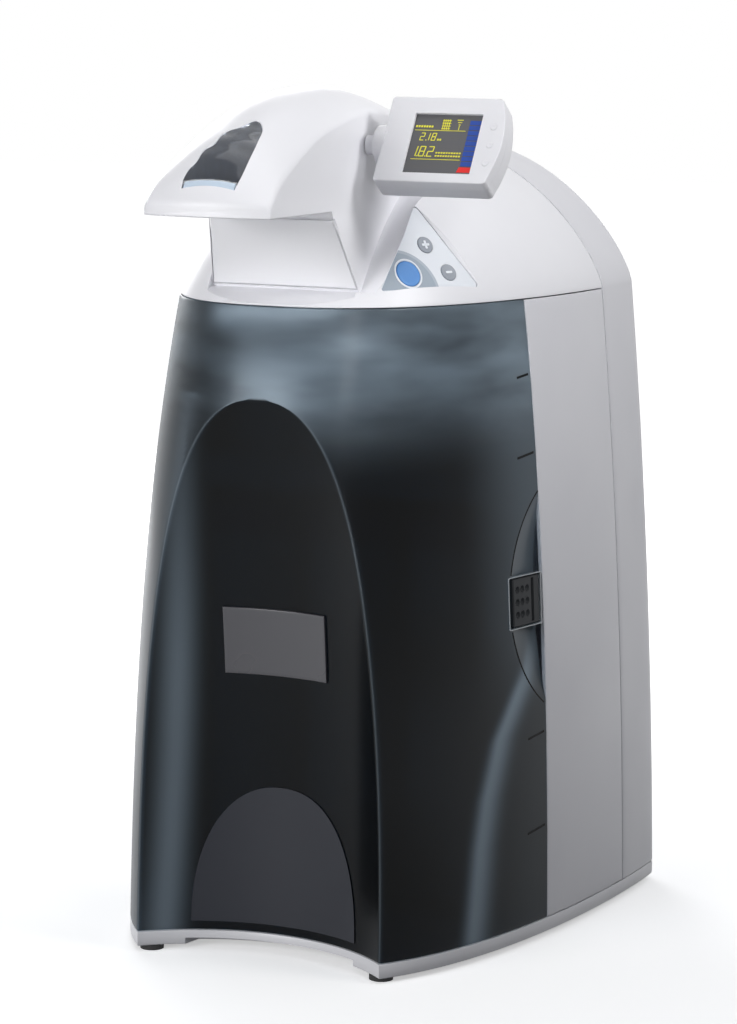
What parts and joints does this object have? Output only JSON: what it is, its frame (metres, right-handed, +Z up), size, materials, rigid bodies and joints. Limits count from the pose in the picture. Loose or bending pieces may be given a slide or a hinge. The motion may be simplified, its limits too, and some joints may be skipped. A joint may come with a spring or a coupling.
{
  "type": "ultrapure water system",
  "caption": "Bench-top ultrapure water system with smoked arched door, domed white top, dispensing hood, tilting display and triangular key pad",
  "frame": {"origin": "on the bench, under the middle of the bounding box", "axes": "+Z up, the hood and door face -Y, +X to the right as seen from the front"},
  "size_m": [0.379, 0.475, 0.649],
  "materials": {
    "cover_white": "satin moulded plastic",
    "smoke_door": "smoked translucent plastic, gloss",
    "smoke_window": "smoked translucent plastic, gloss",
    "rubber_dark": "matt",
    "plate_dark": "satin",
    "pad_grey": "satin film",
    "key_blue": "gloss",
    "key_grey": "gloss",
    "bezel_white": "satin",
    "lcd_grey": "glass over liquid crystal",
    "board_green": "solder mask",
    "steel": "brushed",
    "steel_painted": "powder coat",
    "clear": "clear plastic",
    "cartridge_white": "satin",
    "cartridge_blue": "satin",
    "black_plastic": "moulded",
    "tube_clear": "semi-clear hose",
    "grey_plastic": "moulded",
    "brass": "turned"
  },
  "bodies": {
    "chassis": {"base_tray": "cover_white", "rubber_feet": "rubber_dark", "side_panel_left": "cover_white", "side_panel_right": "cover_white", "rear_cover": "cover_white", "top_cover": "cover_white", "neck_cover": "cover_white", "hood_window": "smoke_window", "hood_lamp": "clear", "dispense_nozzle": "grey_plastic", "final_filter": "cartridge_white", "key_panel": "pad_grey", "key_carrier": "black_plastic", "pivot_collar": "black_plastic", "latch_keeper": "black_plastic", "body_hinge_leaves": "steel", "hinge_pins": "steel", "bulkhead": "steel_painted", "deck": "steel_painted", "rear_posts": "steel", "cover_screws": "steel", "cartridge_cradle": "grey_plastic", "cartridges": "cartridge_white", "cartridge_caps": "cartridge_blue", "manifold": "cartridge_white", "uv_housing": "steel", "uv_end_caps": "black_plastic", "uv_lamp": "clear", "uv_clips": "grey_plastic", "pump_motor": "steel_painted", "pump_head": "black_plastic", "power_supply": "steel", "control_board": "board_green", "board_standoffs": "brass", "solenoid_valves": "brass", "conductivity_cells": "grey_plastic", "connector_bay": "grey_plastic", "spigots": "grey_plastic", "inlet_socket": "black_plastic", "rocker_frame": "black_plastic", "tubes": "tube_clear"},
    "door": {"front_door": "smoke_door", "latch_guide": "clear", "latch_spring": "steel", "door_hinge_leaves": "steel", "name_plate": "plate_dark", "arch_plate": "plate_dark"},
    "display": {"display_bezel": "bezel_white", "display_back": "bezel_white", "display_lcd": "lcd_grey", "display_board": "board_green"},
    "latch": {"latch_slide": "plate_dark"},
    "display_button_1": {"display_key_1": "bezel_white"},
    "display_button_2": {"display_key_2": "bezel_white"},
    "display_button_3": {"display_key_3": "bezel_white"},
    "dispense_button": {"dispense_key": "key_blue"},
    "plus_button": {"plus_key": "key_grey"},
    "minus_button": {"minus_key": "key_grey"},
    "rocker": {"power_rocker": "black_plastic"},
    "rotor": {"pump_rotor": "steel"}
  },
  "joints": [
    {"name": "door_hinge", "type": "hinge", "parent": "chassis", "child": "door", "pos_m": [-0.17065, 0.0344, 0.164], "axis": [0, 0, -1], "range_deg": [0, 110]},
    {"name": "latch_pull", "type": "slide", "parent": "door", "child": "latch", "axis": [-0.2317, -0.9728, 0], "range_m": [0, 0.005], "stiffness_N_per_m": 300},
    {"name": "display_tilt", "type": "hinge", "parent": "chassis", "child": "display", "pos_m": [0.056, -0.05815, 0.60725], "axis": [1, 0, 0], "range_deg": [-25, 25]},
    {"name": "display_button_1_press", "type": "slide", "parent": "display", "child": "display_button_1", "axis": [0, 0.8387, -0.5446], "range_m": [0, 0.0008], "stiffness_N_per_m": 400},
    {"name": "display_button_2_press", "type": "slide", "parent": "display", "child": "display_button_2", "axis": [0, 0.8387, -0.5446], "range_m": [0, 0.0008], "stiffness_N_per_m": 400},
    {"name": "display_button_3_press", "type": "slide", "parent": "display", "child": "display_button_3", "axis": [0, 0.8387, -0.5446], "range_m": [0, 0.0008], "stiffness_N_per_m": 400},
    {"name": "dispense_press", "type": "slide", "parent": "chassis", "child": "dispense_button", "axis": [-0.7404, 0.4362, -0.5114], "range_m": [0, 0.0012], "stiffness_N_per_m": 400},
    {"name": "plus_press", "type": "slide", "parent": "chassis", "child": "plus_button", "axis": [-0.7404, 0.4362, -0.5114], "range_m": [0, 0.0012], "stiffness_N_per_m": 400},
    {"name": "minus_press", "type": "slide", "parent": "chassis", "child": "minus_button", "axis": [-0.7404, 0.4362, -0.5114], "range_m": [0, 0.0012], "stiffness_N_per_m": 400},
    {"name": "power_switch", "type": "hinge", "parent": "chassis", "child": "rocker", "pos_m": [0.044, 0.2075, 0.056], "axis": [-1, 0, 0], "range_deg": [0, 18]},
    {"name": "pump_spin", "type": "hinge", "parent": "chassis", "child": "rotor", "pos_m": [0.05, 0.15, 0.046], "axis": [1, 0, 0], "continuous": true}
  ]
}
